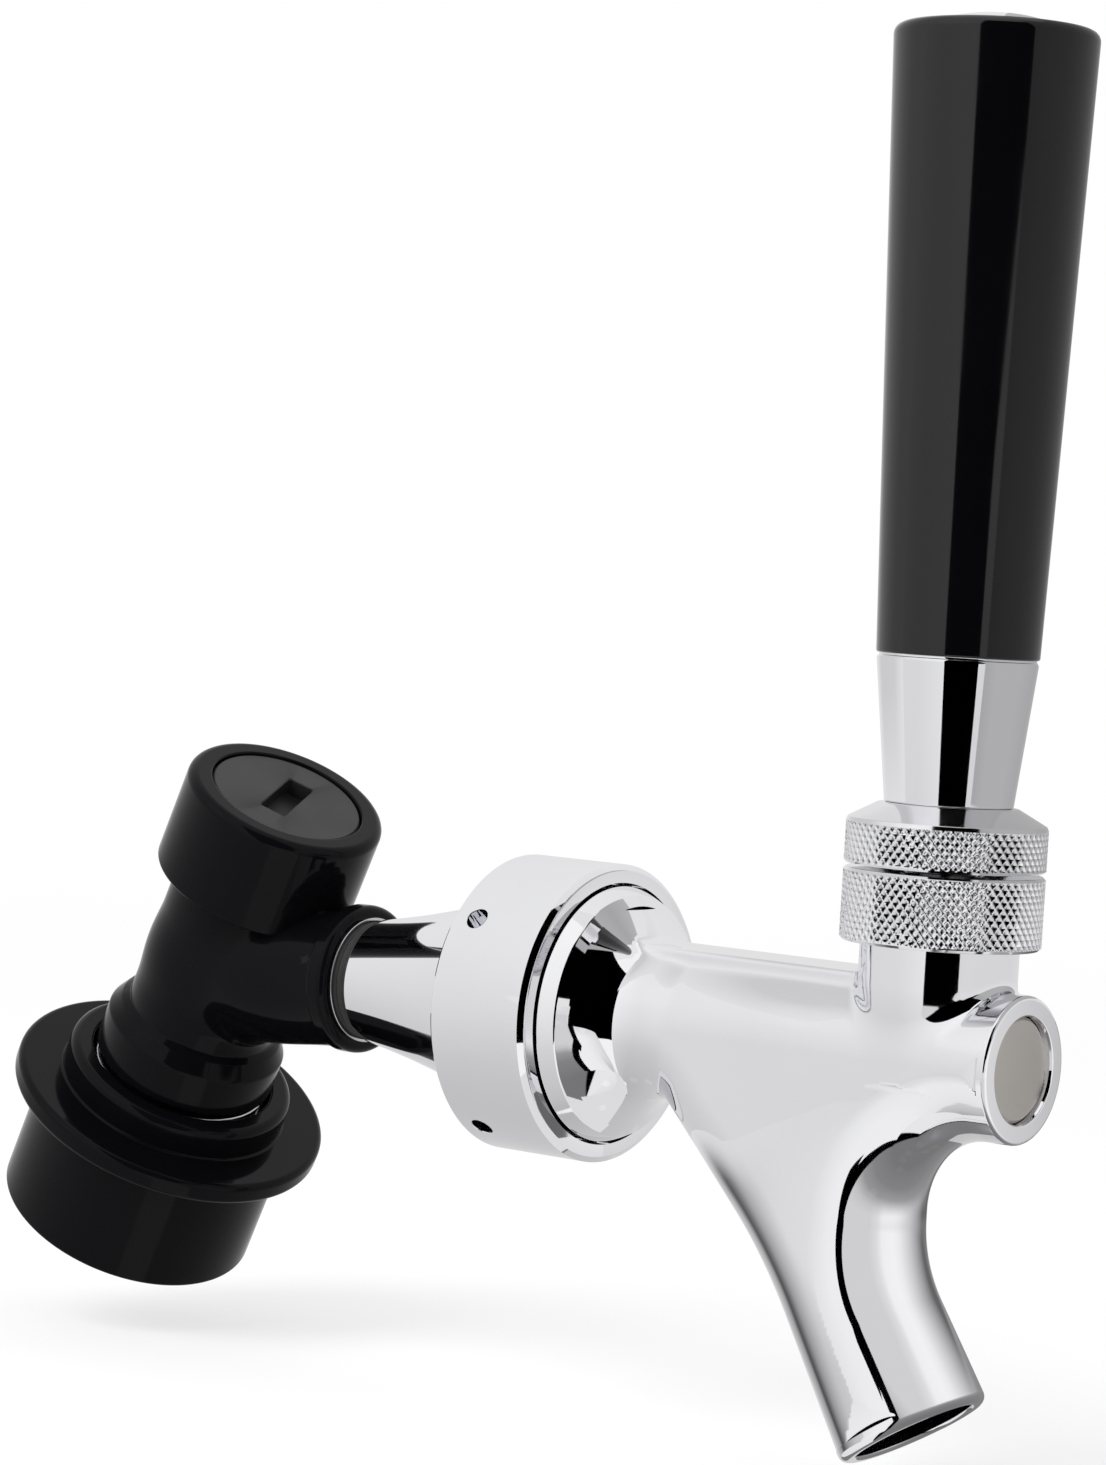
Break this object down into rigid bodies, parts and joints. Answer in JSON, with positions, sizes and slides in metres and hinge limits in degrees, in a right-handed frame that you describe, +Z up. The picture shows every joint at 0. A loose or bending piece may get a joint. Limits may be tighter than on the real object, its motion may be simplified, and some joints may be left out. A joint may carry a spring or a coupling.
{
  "type": "beer faucet",
  "caption": "Lever beer faucet in polished chrome with a black handle, joined by a flared adapter to a black keg quick disconnect.",
  "frame": {"origin": "centre of the mouth of the keg post socket, on its axis, at the bottom of the disconnect's tube", "axes": "+Z up along the faucet's handle; -Y from the disconnect towards the drinker and the spout; +X across the faucet, along the lever's hinge"},
  "size_m": [0.0438, 0.1628, 0.1755],
  "materials": {
    "polished_chrome": "mirror polish",
    "knurled_chrome": "diamond knurl, bright",
    "turned_steel": "turned, satin",
    "plain_steel": "bright",
    "bare_brass": "machined",
    "black_plastic": "gloss black",
    "plug_plastic": "satin black",
    "acetal": "white, smooth",
    "seal_rubber": "black rubber"
  },
  "bodies": {
    "fixed": {"faucet_body": "polished_chrome", "bonnet": "knurled_chrome", "ball_washer": "acetal", "friction_washer": "acetal", "coupling_washer": "seal_rubber", "split_ring": "plain_steel", "adapter": "polished_chrome", "flare_washer": "acetal", "face_seal": "seal_rubber", "disconnect_body": "black_plastic", "disconnect_cap": "black_plastic", "slot_plug": "plug_plastic", "plug_oring": "seal_rubber", "poppet_spring": "plain_steel", "sleeve_spring": "plain_steel", "sleeve_clip": "plain_steel"},
    "lever": {"lever": "plain_steel", "lever_collar": "knurled_chrome", "handle_ferrule": "polished_chrome", "handle_insert": "bare_brass", "handle_grip": "black_plastic", "handle_cap": "polished_chrome"},
    "valve": {"valve_shaft": "turned_steel", "shaft_oring": "seal_rubber", "seat_washer": "seal_rubber", "seat_nut": "plain_steel"},
    "coupling": {"coupling_nut": "polished_chrome"},
    "sleeve": {"locking_sleeve": "black_plastic"},
    "poppet": {"poppet": "bare_brass", "poppet_oring": "seal_rubber"},
    "ball_1": {"locking_ball_1": "plain_steel"},
    "ball_2": {"locking_ball_2": "plain_steel"},
    "ball_3": {"locking_ball_3": "plain_steel"}
  },
  "joints": [
    {"name": "lever_tilt", "type": "hinge", "parent": "fixed", "child": "lever", "pos_m": [-0.0049, -0.13367, 0.04726], "axis": [1, 0, 0], "range_deg": [0, 20]},
    {"name": "valve_slide", "type": "slide", "parent": "fixed", "child": "valve", "axis": [0, 1, 0], "range_m": [0, 0.004]},
    {"name": "nut_turn", "type": "hinge", "parent": "fixed", "child": "coupling", "pos_m": [-0.0049, -0.07827, 0.03626], "axis": [0, 1, 0], "continuous": true},
    {"name": "sleeve_slide", "type": "slide", "parent": "fixed", "child": "sleeve", "axis": [-0.1184, -0.4679, 0.8758], "range_m": [0, 0.005], "stiffness_N_per_m": 800, "springref_m": -0.006, "deforming": ["sleeve_spring"]},
    {"name": "poppet_slide", "type": "slide", "parent": "fixed", "child": "poppet", "axis": [-0.1184, -0.4679, 0.8758], "range_m": [0, 0.0025], "stiffness_N_per_m": 500, "springref_m": -0.004, "deforming": ["poppet_spring"]},
    {"name": "ball_1_slide", "type": "slide", "parent": "fixed", "child": "ball_1", "axis": [-0.0627, 0.8838, 0.4637], "range_m": [0, 0.0013]},
    {"name": "ball_2_slide", "type": "slide", "parent": "fixed", "child": "ball_2", "axis": [-0.8269, -0.4419, -0.3479], "range_m": [0, 0.0013]},
    {"name": "ball_3_slide", "type": "slide", "parent": "fixed", "child": "ball_3", "axis": [0.8896, -0.4419, -0.1158], "range_m": [0, 0.0013]}
  ],
  "couplings": [
    {"joint": "valve_slide", "follows": "lever_tilt", "m_per_rad": 0.011},
    {"joint": "ball_1_slide", "follows": "sleeve_slide", "ratio": 0.24},
    {"joint": "ball_2_slide", "follows": "sleeve_slide", "ratio": 0.24},
    {"joint": "ball_3_slide", "follows": "sleeve_slide", "ratio": 0.24}
  ]
}
